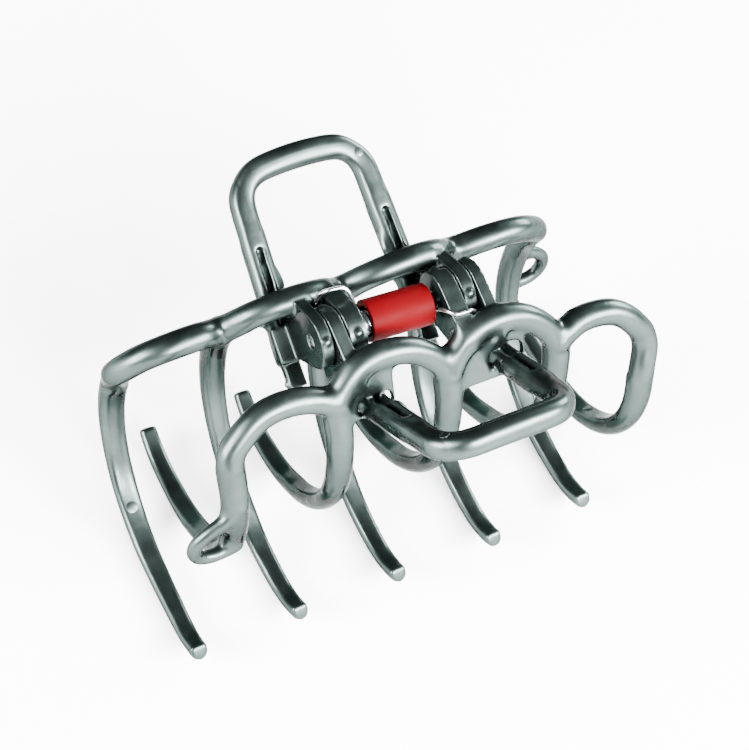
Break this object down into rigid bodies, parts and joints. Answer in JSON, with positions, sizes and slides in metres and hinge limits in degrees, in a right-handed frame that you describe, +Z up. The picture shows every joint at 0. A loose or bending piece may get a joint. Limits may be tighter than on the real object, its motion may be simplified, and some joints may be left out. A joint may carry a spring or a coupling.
{
  "type": "claw hair clip",
  "caption": "Large claw hair clip: two hinged open-work jaws with curved tines and loop handles, a torsion spring inside a red sleeve on the hinge pin.",
  "frame": {"origin": "on the floor under the middle of the hinge, centre of the outline seen from above", "axes": "+X along the hinge pin to the right of the picture, +Y to the rear, +Z up from the tines to the hinge"},
  "size_m": [0.1036, 0.076, 0.0655],
  "materials": {
    "jaw_plastic": "metallic grey plastic, high gloss",
    "pin_steel": "plain drawn steel",
    "spring_steel": "bright drawn wire",
    "sleeve_plastic": "glossy red"
  },
  "bodies": {
    "rear_jaw": {"rear_jaw": "jaw_plastic", "hinge_pin": "pin_steel", "torsion_spring": "spring_steel", "spring_sleeve": "sleeve_plastic"},
    "front_jaw": {"front_jaw": "jaw_plastic"}
  },
  "joints": [
    {"name": "jaw_hinge", "type": "hinge", "parent": "rear_jaw", "child": "front_jaw", "pos_m": [0, 0, 0.0558], "axis": [-1, 0, 0], "range_deg": [0, 75], "stiffness_Nm_per_rad": 0.08, "springref_deg": -57.3, "deforming": ["torsion_spring"]}
  ]
}
